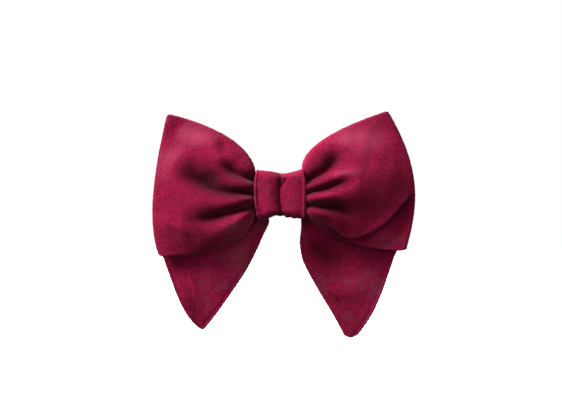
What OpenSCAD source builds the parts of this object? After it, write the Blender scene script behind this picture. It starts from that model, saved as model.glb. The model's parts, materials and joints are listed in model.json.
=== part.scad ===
// Pre-tied velvet sailor bow tie with two hanging tails and a sprung two-jaw collar clip.
// Worn upright: +Z up, the front of the bow faces -Y, and the origin is the centre of the
// knot's flat back, which rests on the collar. All sizes are in millimetres.

/* [Loops] */
// Depth that the front of each loop stands out from its seam
loop_puff = 12.5; // [8:0.5:15]
// Depth that the back of each loop stands out behind its seam
back_puff = 2; // [0:0.2:2.4]
// Depth of the pleats where the front panel enters the knot
pleat_depth = 1.6; // [0:0.1:2]
// Thickness of the velvet, with its pile
velvet_t = 1.2; // [1:0.05:1.25]
// Thickness of the stiffening cloth behind the velvet
interlining_t = 0.4; // [0.2:0.05:0.4]

/* [Knot] */
// Width of the knot band along the bow
knot_w = 23; // [22:0.2:23]
// Height of the knot, over the band
knot_h = 21.6; // [21:0.1:22]
// Thickness of the folded band
band_t = 1.5; // [1.2:0.1:1.5]
// Diameter of the gathering thread
thread_d = 0.5; // [0.3:0.05:0.5]
// Turns of the gathering thread
thread_turns = 5; // [3:1:5]

/* [Tails] */
// Thickness of a finished tail, over both layers
tail_t = 2.3; // [2:0.1:2.3]
// Angle that the tails lean back from the vertical
tail_lean = 5; // [4:0.5:6]
// Width of the seam allowance that the tail's stiffening cloth stays clear of
seam_margin = 1.5; // [1:0.5:3]

/* [Collar clip] */
// Length of the clip's base plate
plate_l = 66; // [66:0.5:70]
// Height of the clip's base plate
plate_h = 9.6; // [9.4:0.1:10.4]
// Thickness of the steel strip
steel_t = 0.7; // [0.6:0.05:0.7]
// Distance of each hinge from the middle of the plate
hinge_x = 20; // [20:0.5:21]
// Height of each hinge above the back of the plate
hinge_rise = 2.3; // [2.3:0.05:2.6]
// Radius of the hinge pins
pin_r = 0.75; // [0.6:0.05:0.8]
// Diameter of the spring wire
wire_d = 0.5; // [0.4:0.05:0.5]
// Turns of each torsion spring
spring_turns = 5; // [3:1:5]
// Teeth on each jaw
jaw_teeth = 4; // [3:1:6]

/* [Hidden] */

$fn = 48;
gap = 0.1;          // clearance between parts that lie against each other
running = 0.07;     // radial clearance of a jaw on its pin
layer_gap = 0.05;   // clearance between sewn layers

velvet_colour = "#8e1f42";
lining_colour = "#f0ebe4";
thread_colour = "#6d1230";
steel_colour = "#c6c8ca";

// Depths, from the flat back of the knot at y = 0 towards the front at -y
knot_depth = 16.4;
tack_d = 0.35;
plate_back = -2;
plate_front = plate_back - steel_t;
head_back = -3.4;
head_front = -4.9;
waist_back = -5.2;
waist_front = -14.3;
seam_y = -7.4;
tail_front_y = -5.1;
tail_top_z = -knot_h / 2 - 0.4;

// Corners and edges of the two loops in (x, z): the lower edge, the upper edge and the end.
// Each is a cubic curve of four points, and the two sides differ, as gathered loops do.
waist_x = knot_w / 2 + 0.2;
waist_z = 8;
left_loop = [
    [[-waist_x, -waist_z], [-17, -23], [-24, -27], [-55.4, -28.2]],
    [[-waist_x, waist_z], [-11.5, 21.5], [-25.5, 31.5], [-51.8, 37.2]],
    [[-55.4, -28.2], [-61, -12], [-58.8, 12], [-51.8, 37.2]]
];
right_loop = [
    [[waist_x, -waist_z], [17, -14], [24, -25.5], [58.2, -26]],
    [[waist_x, waist_z], [9.8, 23], [21, 31], [49.8, 38.2]],
    [[58.2, -26], [62, -12], [68, 8], [49.8, 38.2]]
];

// Tails in (x, z): the outer edge down to the tip, then the inner edge back up
left_tail = [
    [[-54, -27.5], [-51.5, -38], [-46, -56], [-36, -62]],
    [[-36, -62], [-25, -50], [-11.5, -30], [-4.8, tail_top_z]]
];
right_tail = [
    [[53.6, -26.8], [50, -41], [44, -58], [33, -66]],
    [[33, -66], [15.5, -40], [6.5, -29], [9.8, tail_top_z]]
];
tail_root = [knot_w / 2 + 2.5, tail_top_z];
edge_steps = 18;

// Columns from the knot to a loop's end, and rows from its lower edge to its upper one
loop_columns = 13;
loop_rows = 16;

function cubic(p, t) =
    pow(1 - t, 3) * p[0] + 3 * pow(1 - t, 2) * t * p[1]
    + 3 * (1 - t) * t * t * p[2] + t * t * t * p[3];

// A loop's point at a from the waist (0) to the end (1), and b from the lower to the upper edge
function loop_point(loop, a, b) =
    let (
        low = cubic(loop[0], a),
        high = cubic(loop[1], a),
        near = (1 - b) * loop[0][0] + b * loop[1][0],
        far = cubic(loop[2], b),
        corners = (1 - a) * near + a * ((1 - b) * loop[0][3] + b * loop[1][3])
    )
    (1 - b) * low + b * high + (1 - a) * near + a * far - corners;

// How far the front stands out from the seam: a full waist, pleats that fade, and a rounded loop
function front_rise(a, b) =
    let (
        waist = (seam_y - velvet_t - layer_gap * 2 - waist_front),
        across = pow(max(0, sin(180 * b)), 0.4),
        pleats = pleat_depth * pow(1 - a, 3) * (1 - cos(360 * 4 * b)) / 2
    )
    across * (waist * pow(1 - a, 2) - pleats)
    + loop_puff * pow(sin(180 * pow(a, 0.7)), 0.9) * pow(max(0, sin(180 * b)), 0.8);

function back_rise(a, b) =
    (waist_back - seam_y - velvet_t - 8 * layer_gap) * pow(1 - a, 4) * pow(max(0, sin(180 * b)), 0.5)
    + back_puff * pow(sin(180 * a), 2) * pow(sin(180 * pow(b, 1.6)), 2);

// The share of the way along a loop for each column, from the left end to the right end
columns = [
    for (i = [loop_columns:-1:0]) [0, i / loop_columns],
    for (i = [0:loop_columns]) [1, i / loop_columns]
];

function panel_points(front, depth) = [
    for (c = columns, j = [0:loop_rows])
        let (
            b = j / loop_rows,
            p = loop_point(c[0] == 0 ? left_loop : right_loop, c[1], b),
            rise = front ? -front_rise(c[1], b) : back_rise(c[1], b)
        )
        [p[0], depth + rise, p[1]]
];

// A closed sheet between two grids of the same points, the first of them nearer the front
function sheet_faces(n, m) =
    let (size = n * m, e = (n - 1) * m)
    concat(
        [for (i = [0:n - 2], j = [0:m - 2])
            let (p = i * m + j, q = p + m, r = p + size, s = q + size)
            each [[p, q + 1, q], [p, p + 1, q + 1], [r, s, s + 1], [r, s + 1, r + 1]]],
        [for (i = [0:n - 2])
            let (p = i * m, q = p + m, r = p + m - 1, s = q + m - 1)
            each [[p, q + size, p + size], [p, q, q + size],
                  [r, r + size, s + size], [r, s + size, s]]],
        [for (j = [0:m - 2])
            each [[j, j + size, j + size + 1], [j, j + size + 1, j + 1],
                  [e + j, e + j + size + 1, e + j + size], [e + j, e + j + 1, e + j + size + 1]]]
    );

module bow_sheet(front, near, far) {
    polyhedron(
        points = concat(panel_points(front, near), panel_points(front, far)),
        faces = sheet_faces(len(columns), loop_rows + 1)
    );
}

// Frame of a swept tube: side and up vectors square to the path, with up near Z or X
function unit(v) = v / norm(v);
function tangent(path, i) = unit(path[min(i + 1, len(path) - 1)] - path[max(i - 1, 0)]);
function tube_points(path, r, sides, up) = [
    for (i = [0:len(path) - 1])
        let (t = tangent(path, i), s = unit(cross(t, up)), u = cross(s, t))
        for (k = [0:sides - 1])
            path[i] + r * (cos(360 * k / sides) * s + sin(360 * k / sides) * u)
];
function tube_faces(n, sides) = concat(
    [[for (k = [sides - 1:-1:0]) k]],
    [for (i = [0:n - 2], k = [0:sides - 1])
        let (a = i * sides, b = a + sides, l = (k + 1) % sides)
        each [[a + k, b + l, b + k], [a + k, a + l, b + l]]],
    [[for (k = [0:sides - 1]) (n - 1) * sides + k]]
);

module tube(path, r, sides, up) {
    polyhedron(points = tube_points(path, r, sides, up), faces = tube_faces(len(path), sides));
}

// Lays a 2D shape drawn in (x, z) between two depths
module between_depths(y_front, y_back) {
    translate([0, y_back, 0])
        rotate([90, 0, 0])
            linear_extrude(y_back - y_front) children();
}

// ---- bow ----

module bow_front_panel() {
    color(velvet_colour)
        bow_sheet(true, seam_y - layer_gap - velvet_t, seam_y - layer_gap);
}

module bow_interlining() {
    color(lining_colour)
        bow_sheet(true, seam_y, seam_y + interlining_t);
}

module bow_back_panel() {
    y = seam_y + interlining_t + layer_gap;
    color(velvet_colour)
        bow_sheet(false, y, y + velvet_t);
}

// Turns of thread that hold the gathers, laid side by side round a rounded-rectangle path
thread_back = plate_front - gap;
thread_front = band_t - knot_depth + gap;
function power(v, n) = sign(v) * pow(abs(v), n);
gather_path = [
    for (i = [0:thread_turns * 24])
        let (
            turn = i / 24,
            middle = (thread_back + thread_front) / 2,
            half = (thread_back - thread_front - thread_d) / 2
        )
        [(turn - thread_turns / 2) * thread_d * 1.1,
         middle + half * power(cos(360 * turn), 0.5),
         (knot_h / 2 - band_t - gap - thread_d / 2) * power(sin(360 * turn), 0.5)]
];

module gather_thread() {
    color(thread_colour)
        tube(gather_path, thread_d / 2, 6, [1, 0, 0]);
}

// ---- tails ----

function tail_outline(tail, side) = concat(
    [[side * tail_root[0], tail_root[1]]],
    [for (i = [0:edge_steps]) cubic(tail[0], i / edge_steps)],
    [for (i = [1:edge_steps]) cubic(tail[1], i / edge_steps)]
);

// The tail hangs from the back of its top edge and leans back towards the shirt
module leaning() {
    fold_y = tail_front_y + tail_t;
    translate([0, fold_y, tail_top_z])
        rotate([tail_lean, 0, 0])
            translate([0, -fold_y, -tail_top_z]) children();
}

module tail_layer(tail, side, front) {
    pocket = interlining_t / 2;
    middle = tail_front_y + tail_t / 2;
    leaning()
        difference() {
            between_depths(front ? tail_front_y : middle, front ? middle : tail_front_y + tail_t)
                polygon(tail_outline(tail, side));
            between_depths(middle - pocket, middle + pocket)
                offset(delta = -seam_margin) polygon(tail_outline(tail, side));
        }
}

module tail_interlining(tail, side) {
    pocket = interlining_t / 2 - layer_gap / 2;
    middle = tail_front_y + tail_t / 2;
    leaning()
        between_depths(middle - pocket, middle + pocket)
            offset(delta = -seam_margin - layer_gap) polygon(tail_outline(tail, side));
}

// The gathered top of a tail, from inside the knot, out at its side, and down to the fold
module tail_head(side) {
    inner_x = thread_turns * thread_d / 2 + 0.7;
    outer_x = knot_w / 2 + gap;
    foot_z = tail_top_z + 3 * gap;
    color(velvet_colour)
        between_depths(head_front, head_back)
            polygon([
                [side * inner_x, -4], [side * inner_x, 3], [side * outer_x, 2],
                [side * (outer_x + 2), -1.5], [side * tail_root[0], foot_z],
                [side * outer_x, foot_z], [side * outer_x, -6]
            ]);
}

// ---- knot ----

// Half of the knot's section: a rounded rectangle in (depth, height)
module knot_section(inset, r) {
    d = knot_depth - 2 * inset;
    h = knot_h - 2 * inset;
    translate([-inset - d + r, -h / 2 + r])
        hull()
            for (x = [0, d - 2 * r], z = [0, h - 2 * r])
                translate([x, z]) circle(r, $fn = 40);
}

module knot_band() {
    corner = 4;
    color(velvet_colour)
        translate([-knot_w / 2, 0, 0])
            rotate([90, 0, 90])
                linear_extrude(knot_w)
                    difference() {
                        knot_section(0, corner);
                        knot_section(band_t, corner - band_t);
                    }
}

// Short hand stitches across the lapped end of the band, under its lower back corner
module knot_closing_stitches() {
    corner = 4;
    stitch_r = 0.2;
    stitch_l = 2;
    pitch = 2.2;
    color(thread_colour)
        for (i = [-4:4])
            translate([i * pitch, -corner, corner - knot_h / 2])
                rotate([-45, 0, 0])
                    translate([0, corner + stitch_r + 0.02, 0])
                        cylinder(h = stitch_l, r = stitch_r, center = true, $fn = 16);
}

// ---- collar clip ----

tack_x = 6.5;
tack_z = 1.4;
tack_hole_r = 0.5;

// An ear in (x, y): an eye round the hinge with a foot that joins it to the strip at foot_y
module ear(eye_r, foot_y, foot_w) {
    translate([hinge_x, plate_back + hinge_rise]) circle(eye_r);
    polygon([
        [hinge_x - foot_w / 2, foot_y], [hinge_x + foot_w / 2, foot_y],
        [hinge_x + eye_r * 0.9, plate_back + hinge_rise],
        [hinge_x - eye_r * 0.9, plate_back + hinge_rise]
    ]);
}

module hinge_bore(r) {
    translate([hinge_x, plate_back + hinge_rise, -plate_h])
        cylinder(h = 2 * plate_h, r = r);
}

module clip_plate() {
    corner_r = 3;
    color(steel_colour)
        difference() {
            union() {
                between_depths(plate_front, plate_back) {
                    square([plate_l - 2 * corner_r, plate_h], center = true);
                    square([plate_l, plate_h - 2 * corner_r], center = true);
                    for (s = [-1, 1], t = [-1, 1])
                        translate([s * (plate_l / 2 - corner_r), t * (plate_h / 2 - corner_r)])
                            circle(corner_r);
                }
                for (s = [0, 1], t = [0, 1])
                    mirror([s, 0, 0])
                        mirror([0, 0, t])
                            translate([0, 0, plate_h / 2 - steel_t])
                                linear_extrude(steel_t)
                                    ear(2, plate_front + steel_t / 2, 6);
            }
            for (s = [0, 1]) mirror([s, 0, 0]) hinge_bore(pin_r);
            for (x = [-tack_x, tack_x], z = [-tack_z, tack_z])
                translate([x, plate_front - gap, z])
                    rotate([-90, 0, 0]) cylinder(h = steel_t + 2 * gap, r = tack_hole_r);
        }
}

// One stitch at each end of the plate's covered part, which ties it to a tail's gathered top:
// out of the cloth through one hole, across, and back through the other
module plate_tack_thread() {
    r = tack_d / 2;
    over_y = plate_back + r + 0.02;
    color(thread_colour)
        for (s = [-1, 1])
            tube([
                [s * tack_x, head_back, -tack_z], [s * tack_x, plate_back - 0.1, -tack_z],
                [s * tack_x, over_y, -tack_z + 0.3], [s * tack_x, over_y, tack_z - 0.3],
                [s * tack_x, plate_back - 0.1, tack_z], [s * tack_x, head_back, tack_z]
            ], r, 8, [1, 0, 0]);
}

// Outline of a bent strip of thickness t along a path of 2D points
function strip_side(p, t) = [
    for (i = [0:len(p) - 1])
        let (d = unit(p[min(i + 1, len(p) - 1)] - p[max(i - 1, 0)]))
        p[i] + t / 2 * [-d[1], d[0]]
];
function reversed(v) = [for (i = [len(v) - 1:-1:0]) v[i]];
module strip(p, t) {
    polygon(concat(strip_side(p, t), reversed(strip_side(p, -t))));
}

// The jaw's strip in (x, y), from its toothed lip over the hinge to the thumb lever
lip_y = plate_back + gap + 0.9;
jaw_arch_y = plate_back + hinge_rise + 2.2;
jaw_path = [
    [hinge_x + 10.9, lip_y], [hinge_x + 10, lip_y + 0.9], [hinge_x + 7.5, jaw_arch_y - 0.9],
    [hinge_x + 3.5, jaw_arch_y], [hinge_x, jaw_arch_y], [hinge_x - 4, jaw_arch_y + 0.8],
    [hinge_x - 8.9, jaw_arch_y + 2.8]
];
jaw_h = plate_h - 2 * steel_t - 2 * gap;

module jaw() {
    tooth_w = jaw_h / jaw_teeth;
    color(steel_colour)
        difference() {
            union() {
                translate([0, 0, -jaw_h / 2])
                    linear_extrude(jaw_h) strip(jaw_path, steel_t);
                for (t = [0, 1])
                    mirror([0, 0, t])
                        translate([0, 0, jaw_h / 2 - steel_t])
                            linear_extrude(steel_t) ear(1.9, jaw_arch_y, 5);
                // teeth hang from the lip towards the plate
                for (i = [0:jaw_teeth - 1])
                    translate([hinge_x + 10.6, 0, (i - (jaw_teeth - 1) / 2) * tooth_w])
                        rotate([0, 90, 0])
                            linear_extrude(0.6)
                                polygon([
                                    [-tooth_w * 0.48, lip_y + 0.2], [tooth_w * 0.48, lip_y + 0.2],
                                    [0, plate_back + gap]
                                ]);
            }
            hinge_bore(pin_r + running);
        }
}

module hinge_pin() {
    head_t = 0.4;
    color(steel_colour)
        translate([hinge_x, plate_back + hinge_rise, 0]) {
            cylinder(h = plate_h, r = pin_r, center = true);
            for (t = [0, 1])
                mirror([0, 0, t])
                    translate([0, 0, plate_h / 2]) cylinder(h = head_t, r = pin_r + 0.45);
        }
}

// Torsion spring: a leg on the plate, the coil round the pin, and a leg under the lever
coil_r = pin_r + 0.25 + wire_d / 2;
coil_pitch = wire_d * 1.12;
coil_h = spring_turns * coil_pitch;
hinge_y = plate_back + hinge_rise;
lever_under = (steel_t + wire_d) / 2 + 0.13;
spring_path = concat(
    [[hinge_x - 7, plate_back + wire_d / 2 + 0.02, -coil_h / 2],
     [hinge_x - 2.2, plate_back + wire_d / 2 + 0.3, -coil_h / 2]],
    [for (i = [0:14 * (spring_turns - 1) + 7])
        let (a = -90 + 360 * i / 14)
        [hinge_x + coil_r * cos(a), hinge_y + coil_r * sin(a),
         coil_h * (i / (14 * (spring_turns - 1) + 7) - 0.5)]],
    [[hinge_x - 2.4, jaw_path[4][1] + 0.3 - lever_under, coil_h / 2],
     [hinge_x - 6.8, jaw_path[5][1] + 1.0 - lever_under, coil_h / 2]]
);

module torsion_spring() {
    color(steel_colour)
        tube(spring_path, wire_d / 2, 8, [0, 0, 1]);
}

bow_front_panel();
bow_interlining();
bow_back_panel();
gather_thread();
tail_head(-1);  // left_tail_head
tail_head(1);  // right_tail_head
color(velvet_colour) tail_layer(left_tail, -1, true);  // left_tail_front
color(lining_colour) tail_interlining(left_tail, -1);  // left_tail_interlining
color(velvet_colour) tail_layer(left_tail, -1, false);  // left_tail_back
color(velvet_colour) tail_layer(right_tail, 1, true);  // right_tail_front
color(lining_colour) tail_interlining(right_tail, 1);  // right_tail_interlining
color(velvet_colour) tail_layer(right_tail, 1, false);  // right_tail_back
knot_band();
knot_closing_stitches();
clip_plate();
plate_tack_thread();
mirror([1, 0, 0]) jaw();  // left_jaw
jaw();  // right_jaw
mirror([1, 0, 0]) hinge_pin();  // left_hinge_pin
hinge_pin();  // right_hinge_pin
mirror([1, 0, 0]) torsion_spring();  // left_spring
torsion_spring();  // right_spring
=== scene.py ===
import json
import math
from collections import namedtuple

import bpy
import numpy as np
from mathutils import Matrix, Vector


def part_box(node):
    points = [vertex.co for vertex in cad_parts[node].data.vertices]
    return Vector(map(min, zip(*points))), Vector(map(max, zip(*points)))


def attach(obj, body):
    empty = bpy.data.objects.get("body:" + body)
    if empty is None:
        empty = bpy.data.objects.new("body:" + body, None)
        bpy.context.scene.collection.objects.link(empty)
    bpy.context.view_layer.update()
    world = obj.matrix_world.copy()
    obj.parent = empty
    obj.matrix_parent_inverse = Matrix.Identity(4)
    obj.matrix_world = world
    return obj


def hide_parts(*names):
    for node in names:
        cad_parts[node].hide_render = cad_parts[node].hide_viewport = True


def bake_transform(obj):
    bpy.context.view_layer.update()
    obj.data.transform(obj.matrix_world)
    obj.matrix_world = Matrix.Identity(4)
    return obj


bl_info = {
    "name": "Velvet Bow Tie",
    "version": (1, 0, 0),
    "blender": (4, 5, 0),
    "location": "3D View > Sidebar > Bow Tie",
    "description": "Makes a ready-tied velvet bow with two tails and a sprung collar clip",
    "category": "Object",
}

# The bow is worn upright: it faces -Y, +Z is up, and the knot's flat back is at y = 0.
# Places and sizes below are in millimetres, and mesh() turns them into metres.
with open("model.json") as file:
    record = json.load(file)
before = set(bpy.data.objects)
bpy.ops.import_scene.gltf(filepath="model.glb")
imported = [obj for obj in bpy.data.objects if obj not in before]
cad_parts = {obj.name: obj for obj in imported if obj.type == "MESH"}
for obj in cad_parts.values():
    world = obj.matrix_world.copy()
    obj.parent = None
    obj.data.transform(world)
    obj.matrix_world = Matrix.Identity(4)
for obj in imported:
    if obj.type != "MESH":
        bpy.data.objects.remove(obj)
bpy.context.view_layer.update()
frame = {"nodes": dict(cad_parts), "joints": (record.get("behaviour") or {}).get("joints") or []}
MM = 0.001
SEED = 7


def node_box(name):
    """Lowest and highest corner of a CAD node, in millimetres."""
    return tuple(np.array(corner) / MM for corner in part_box(name))


def joint_at(name):
    """A joint's place, in millimetres."""
    return np.array(next(one["pos_m"] for one in frame["joints"] if one["name"] == name)) / MM


SEAM_Y = node_box("bow_back_panel")[0][1]
BAND_LOW, BAND_HIGH = node_box("knot_band")
KNOT_HALF = BAND_HIGH[0]
FOLD_Y, FOLD_Z = joint_at("left_tail_fold")[1:]


# ---- curves, folds and swells ----

Fold = namedtuple("Fold", "path depth above below soft fade")
Fold.__doc__ = """A crease in the cloth, or a ridge if its depth is negative.
path: points (x, z) that it follows, from the knot outwards
depth: how deep it is
above, below: how far each side of it slopes, at the path's start and end
soft: radius of its bottom at the start and the end
fade: share of the path after which it fades out"""

Swell = namedtuple("Swell", "at size turn rise")
# A soft rise of the cloth, or a patch of painted light and shade: its middle (x, z), its half sizes, its
# turn in degrees, and its height, or how dark the patch is painted, painted lighter below 0
Swell.__doc__ = """A soft rise of the cloth, or a patch of pile that lies down: its middle (x, z), its half
sizes, its turn in degrees, and its height, or how much the pile lies down"""


def smooth(low, high, value):
    """0 below low, 1 above high, and an even curve between them."""
    t = np.clip((value - low) / (high - low), 0, 1)
    return t * t * (3 - 2 * t)


def cubic(points, t):
    """A cubic curve's points at t, from its four control points."""
    p = np.array(points, float)
    t = np.asarray(t, float)[..., None]
    return (1 - t) ** 3 * p[0] + 3 * (1 - t) ** 2 * t * p[1] + 3 * (1 - t) * t**2 * p[2] + t**3 * p[3]


def spline(points, steps=12):
    """A smooth line through points, with that many steps between two of them."""
    p = np.array(points, float)
    p = np.vstack([2 * p[0] - p[1], p, 2 * p[-1] - p[-2]])
    t = np.linspace(0, 1, steps, endpoint=False)[:, None]
    line = [
        0.5 * (2 * b + (c - a) * t + (2 * a - 5 * b + 4 * c - d) * t**2 + (3 * b - a - 3 * c + d) * t**3)
        for a, b, c, d in zip(p, p[1:], p[2:], p[3:])
    ]
    return np.vstack(line + [p[-2][None]])


def beside(line, x, z, side):
    """For every point (x, z): its distance from the line, positive above it, and its place along it, 0 to
    1."""
    point = np.stack([x.ravel(), z.ravel()], 1)
    a, d = line[:-1], np.diff(line, axis=0)
    length = np.linalg.norm(d, axis=1)
    run = np.concatenate([[0], np.cumsum(length)])
    t = np.einsum("nij,ij->ni", point[:, None] - a[None], d) / length**2
    t = np.clip(t, 0, 1)
    away = point[:, None] - (a[None] + t[..., None] * d[None])
    far = np.linalg.norm(away, axis=2)
    best = far.argmin(1)
    row = np.arange(len(point))
    cross = d[best, 0] * away[row, best, 1] - d[best, 1] * away[row, best, 0]
    along = (run[best] + t[row, best] * length[best]) / run[-1]
    signed = far[row, best] * np.where(cross * side >= 0, 1, -1)
    return signed.reshape(x.shape), along.reshape(x.shape)


def fold_depth(fold, x, z, side):
    """How deep a fold presses the cloth at every point (x, z)."""
    away, along = beside(spline(fold.path), x, z, side)

    def ease(pair):
        return pair[0] + (pair[1] - pair[0]) * along

    slope = np.where(away >= 0, ease(fold.above), ease(fold.below))
    soft = ease(fold.soft)
    shape = np.exp(-(np.sqrt(away**2 + soft**2) - soft) / slope)
    return fold.depth * shape * (1 - smooth(fold.fade, 1, along))


def swell_rise(swell, x, z):
    """How far a swell lifts the cloth at every point (x, z)."""
    turn = math.radians(swell.turn)
    dx, dz = x - swell.at[0], z - swell.at[1]
    u = (dx * math.cos(turn) + dz * math.sin(turn)) / swell.size[0]
    v = (dz * math.cos(turn) - dx * math.sin(turn)) / swell.size[1]
    return swell.rise * np.exp(-(u**2 + v**2))


def painted_light_patches(patches, x, z):
    """How much the pile lies down over the patches, or stands up below 0."""
    return sum((swell_rise(patch, x, z) for patch in patches), 0.0 * x)


def ripple(x, z, size, seed):
    """Smooth unevenness between about -1 and 1, with waves of that size: a sum of slanted waves."""
    rng = np.random.default_rng([SEED, seed])
    total = np.zeros_like(x)
    waves = 7
    for _ in range(waves):
        turn, phase, stretch = rng.uniform(0, math.tau), rng.uniform(0, math.tau), rng.uniform(0.7, 1.5)
        total += np.sin((x * math.cos(turn) + z * math.sin(turn)) * math.tau / (size * stretch) + phase)
    return total / waves * 1.6


# ---- meshes ----


def link(name, data):
    """Makes an object of that mesh or curve in the scene."""
    made = bpy.data.objects.new(name, data)
    bpy.context.scene.collection.objects.link(made)
    return made


def grid_faces(columns, rows, first=0, flip=False, wrap=(False, False)):
    """Four-sided faces between the neighbours in a grid of points. wrap joins the last column, and the
    last row, to the first."""
    i, j = np.meshgrid(np.arange(columns - (not wrap[0])), np.arange(rows - (not wrap[1])), indexing="ij")
    after, above = (i + 1) % columns, (j + 1) % rows
    corners = [i * rows + j, after * rows + j, after * rows + above, i * rows + above]
    quad = np.stack(corners, -1).reshape(-1, 4) + first
    return quad[:, ::-1] if flip else quad


def mesh(name, points, faces, material, painted_shading_and_tone=None):
    """A smooth-shaded object from points in millimetres and faces, with its finish. press says for each
    point how much its pile is pressed down, up to 1, or brushed up, down to -1."""
    data = bpy.data.meshes.new(name)
    data.from_pydata((np.asarray(points) * MM).tolist(), [], [list(map(int, f)) for f in faces])
    data.polygons.foreach_set("use_smooth", np.ones(len(data.polygons), bool))
    data.materials.append(bpy.data.materials[material])
    if painted_shading_and_tone is not None:
        layer = data.attributes.new("painted_shading_and_tone", "FLOAT", "POINT")
        layer.data.foreach_set("value", np.asarray(painted_shading_and_tone, np.float32).ravel())
    data.update()
    made = link(name, data)
    return made


def normals(grid):
    """Unit normals of a grid of points, on the side where columns cross rows."""
    across, along = np.gradient(grid, axis=0), np.gradient(grid, axis=1)
    n = np.cross(across, along)
    return n / np.maximum(np.linalg.norm(n, axis=2, keepdims=True), 1e-9)


def soften(grid, rounds):
    """A grid of points with each inner point drawn towards its neighbours."""
    g = grid.copy()
    for _ in range(rounds):
        g[1:-1, 1:-1] = (g[:-2, 1:-1] + g[2:, 1:-1] + g[1:-1, :-2] + g[1:-1, 2:]) / 4
    return g


def cloth(name, outer, thick, material, flip=False, painted_shading_and_tone=None):
    """A closed sheet of cloth: an outer grid of points, an inner one that far behind it, and the edge."""
    columns, rows, _ = outer.shape
    away = normals(soften(outer, 4)) * (1 if flip else -1)
    inner = outer + away * thick
    size = columns * rows
    edge = np.concatenate([
        np.arange(columns) * rows,
        (columns - 1) * rows + np.arange(1, rows),
        np.arange(columns - 2, -1, -1) * rows + rows - 1,
        np.arange(rows - 2, 0, -1),
    ])
    after = np.roll(edge, -1)
    rim = np.stack([edge, edge + size, after + size, after], 1)
    faces = np.vstack([
        grid_faces(columns, rows, flip=flip),
        grid_faces(columns, rows, first=size, flip=not flip),
        rim[:, ::-1] if flip else rim,
    ])
    if painted_shading_and_tone is not None:
        painted_shading_and_tone = np.concatenate([painted_shading_and_tone.ravel(), painted_shading_and_tone.ravel()])
    return mesh(name, np.vstack([outer.reshape(-1, 3), inner.reshape(-1, 3)]), faces, material, painted_shading_and_tone)


# ---- materials ----


def colour(hex_value):
    """A hex sRGB colour as the linear one that shaders take."""
    parts = [int(hex_value[i : i + 2], 16) / 255 for i in (1, 3, 5)]
    return [c / 12.92 if c <= 0.04045 else ((c + 0.055) / 1.055) ** 2.4 for c in parts] + [1.0]


def socket(node, key):
    """An input that is in use, by name or number; a node can hold unused ones of the same name."""
    if isinstance(key, int):
        return node.inputs[key]
    return next(one for one in node.inputs if one.name == key and one.enabled)


def socket_out(source):
    """An output: the source itself, or if it is a node the first one in use."""
    if isinstance(source, bpy.types.NodeSocket):
        return source
    return next(one for one in source.outputs if one.enabled)


def add(tree, kind, links=(), **settings):
    """Adds a node. links are pairs of an input and the node or output that feeds it, and settings are the
    node's properties or its inputs."""
    made = tree.nodes.new(kind)
    for key, value in settings.items():
        if hasattr(made, key):
            setattr(made, key, value)
        else:
            socket(made, key.replace("_", " ")).default_value = value
    for target, source in links:
        tree.links.new(socket_out(source), socket(made, target))
    return made


def start_material(name):
    """The empty tree of a new node material."""
    made = bpy.data.materials.new(name)
    made.use_nodes = True
    made.node_tree.nodes.clear()
    return made.node_tree


def close_material(tree, shader):
    """Joins the shader to the material's output."""
    add(tree, "ShaderNodeOutputMaterial", [("Surface", shader)])


WAVE_TURN = math.tau / 20  # a wave texture turns 20 radians in a unit


def per(size):
    """The texture scale at which a pattern's features are that many millimetres apart."""
    return 1 / (size * MM)


def spread(tree, source, low, high, least, most, **settings):
    """A value with its range from low to high drawn out to the one from least to most."""
    return add(tree, "ShaderNodeMapRange", [("Value", source)], From_Min=low, From_Max=high, To_Min=least,
               To_Max=most, **settings)


def two_tones(tree, level, low, high):
    """A colour between two, by level."""
    tone = add(tree, "ShaderNodeValToRGB", [("Fac", level)])
    for stop, tint in zip(tone.color_ramp.elements, (low, high)):
        stop.color = colour(tint)
    return tone


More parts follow.
